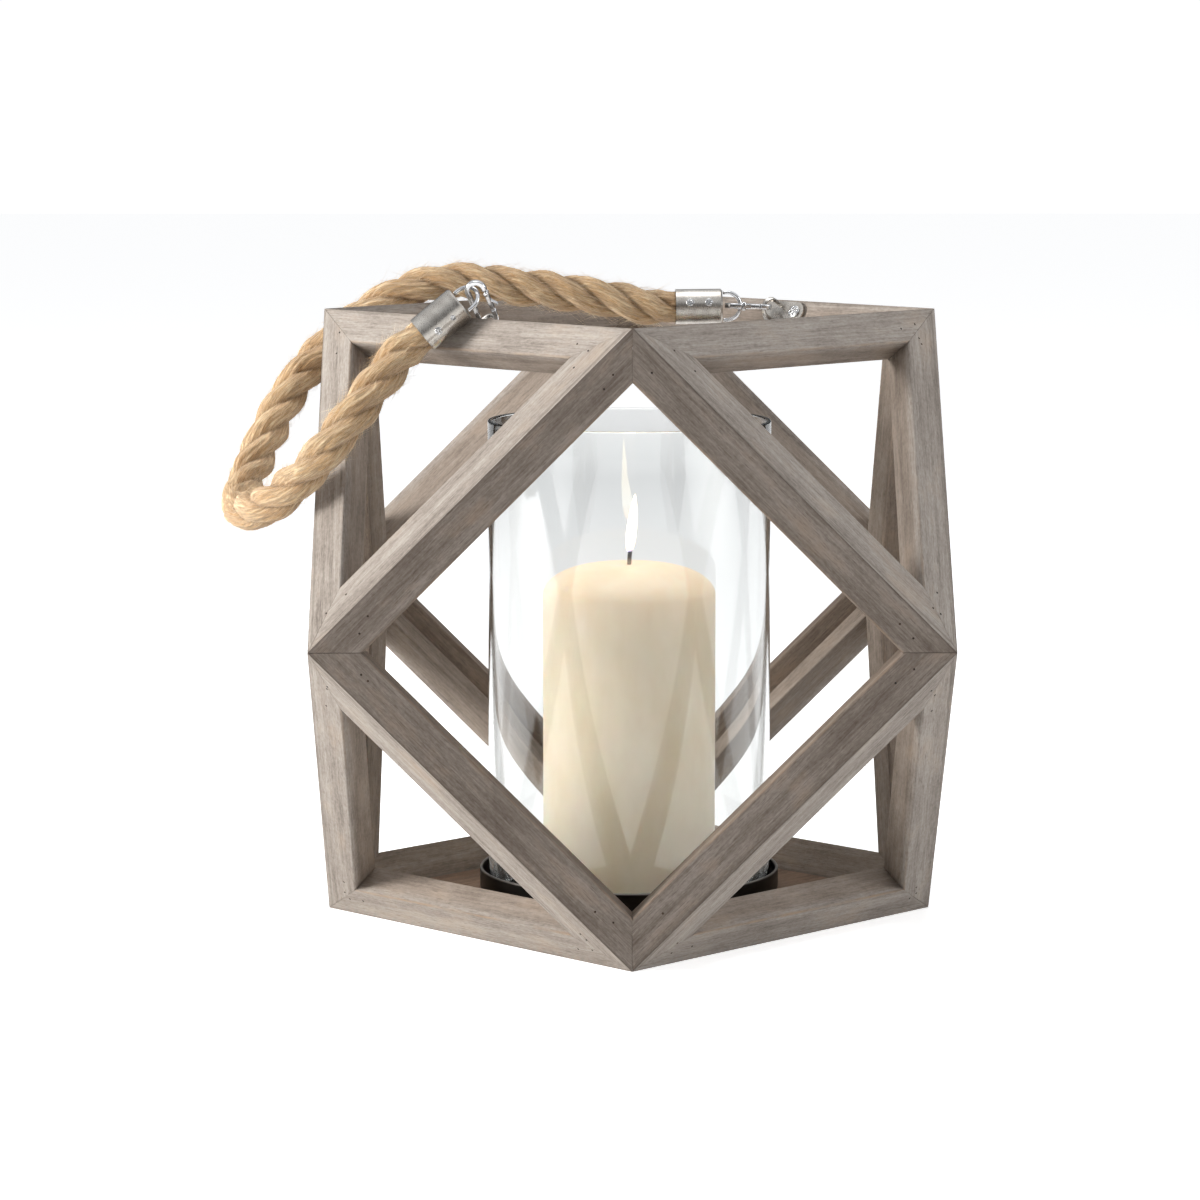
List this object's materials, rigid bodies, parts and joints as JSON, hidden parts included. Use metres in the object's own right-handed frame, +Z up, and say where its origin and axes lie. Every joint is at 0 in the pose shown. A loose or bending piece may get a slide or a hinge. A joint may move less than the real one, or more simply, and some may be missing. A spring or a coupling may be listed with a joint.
{
  "type": "candle lantern",
  "caption": "Open-topped geometric wooden lantern with a pillar candle in a glass cylinder on a metal tray, and a twisted rope handle on snap hooks.",
  "frame": {"origin": "under the centre of the base, on the surface the lantern stands on", "axes": "+Z up, -Y towards the front diamond frame, +X to the right"},
  "size_m": [0.3114, 0.268, 0.285],
  "materials": {
    "frame_wood": "grey washed, weathered, matt",
    "board_wood": "brown washed, matt",
    "tray_metal": "dark bronze, satin",
    "glass": "clear",
    "wax": "ivory wax, soft sheen",
    "wick_cotton": "charred cotton",
    "jute": "twisted natural jute",
    "nickel": "brushed nickel",
    "chrome": "polished"
  },
  "bodies": {
    "frame": {"back_frame_lower_left_stick": "frame_wood", "back_frame_lower_right_stick": "frame_wood", "back_frame_upper_left_stick": "frame_wood", "back_frame_upper_right_stick": "frame_wood", "base_board": "board_wood", "front_frame_lower_left_stick": "frame_wood", "front_frame_lower_right_stick": "frame_wood", "front_frame_upper_left_stick": "frame_wood", "front_frame_upper_right_stick": "frame_wood", "left_bail": "chrome", "left_eye_plate": "nickel", "left_ferrule": "nickel", "left_ferrule_screw_1": "nickel", "left_ferrule_screw_2": "nickel", "left_frame_lower_left_stick": "frame_wood", "left_frame_lower_right_stick": "frame_wood", "left_frame_upper_left_stick": "frame_wood", "left_frame_upper_right_stick": "frame_wood", "left_snap_hook": "chrome", "lower_back_left_frame_bottom_stick": "frame_wood", "lower_back_left_frame_left_stick": "frame_wood", "lower_back_left_frame_right_stick": "frame_wood", "lower_back_right_frame_bottom_stick": "frame_wood", "lower_back_right_frame_left_stick": "frame_wood", "lower_back_right_frame_right_stick": "frame_wood", "lower_front_left_frame_bottom_stick": "frame_wood", "lower_front_left_frame_left_stick": "frame_wood", "lower_front_left_frame_right_stick": "frame_wood", "lower_front_right_frame_bottom_stick": "frame_wood", "lower_front_right_frame_left_stick": "frame_wood", "lower_front_right_frame_right_stick": "frame_wood", "right_bail": "chrome", "right_eye_plate": "nickel", "right_ferrule": "nickel", "right_ferrule_screw_1": "nickel", "right_ferrule_screw_2": "nickel", "right_frame_lower_left_stick": "frame_wood", "right_frame_lower_right_stick": "frame_wood", "right_frame_upper_left_stick": "frame_wood", "right_frame_upper_right_stick": "frame_wood", "right_snap_hook": "chrome", "rope_handle": "jute", "upper_back_left_frame_left_stick": "frame_wood", "upper_back_left_frame_right_stick": "frame_wood", "upper_back_left_frame_top_stick": "frame_wood", "upper_back_right_frame_left_stick": "frame_wood", "upper_back_right_frame_right_stick": "frame_wood", "upper_back_right_frame_top_stick": "frame_wood", "upper_front_left_frame_left_stick": "frame_wood", "upper_front_left_frame_right_stick": "frame_wood", "upper_front_left_frame_top_stick": "frame_wood", "upper_front_right_frame_left_stick": "frame_wood", "upper_front_right_frame_right_stick": "frame_wood", "upper_front_right_frame_top_stick": "frame_wood"},
    "tray": {"tray": "tray_metal"},
    "glass_cylinder": {"glass_cylinder": "glass"},
    "candle": {"candle": "wax", "wick": "wick_cotton"},
    "left_gate": {"left_snap_hook_gate": "chrome"},
    "right_gate": {"right_snap_hook_gate": "chrome"}
  },
  "joints": [
    {"name": "tray_lift", "type": "slide", "parent": "frame", "child": "tray", "axis": [0, 0, 1], "range_m": [0, 0.018]},
    {"name": "glass_lift", "type": "slide", "parent": "tray", "child": "glass_cylinder", "axis": [0, 0, 1], "range_m": [0, 0.018]},
    {"name": "candle_lift", "type": "slide", "parent": "tray", "child": "candle", "axis": [0, 0, 1], "range_m": [0, 0.21]},
    {"name": "left_gate_pivot", "type": "hinge", "parent": "frame", "child": "left_gate", "pos_m": [-0.06134, -0.06922, 0.27853], "axis": [0.0393, 0.915, 0.4015], "range_deg": [0, 22], "stiffness_Nm_per_rad": 0.0004},
    {"name": "right_gate_pivot", "type": "hinge", "parent": "frame", "child": "right_gate", "pos_m": [0.05216, 0.04956, 0.26577], "axis": [0.0374, 0.0421, 0.9984], "range_deg": [0, 22], "stiffness_Nm_per_rad": 0.0004}
  ]
}
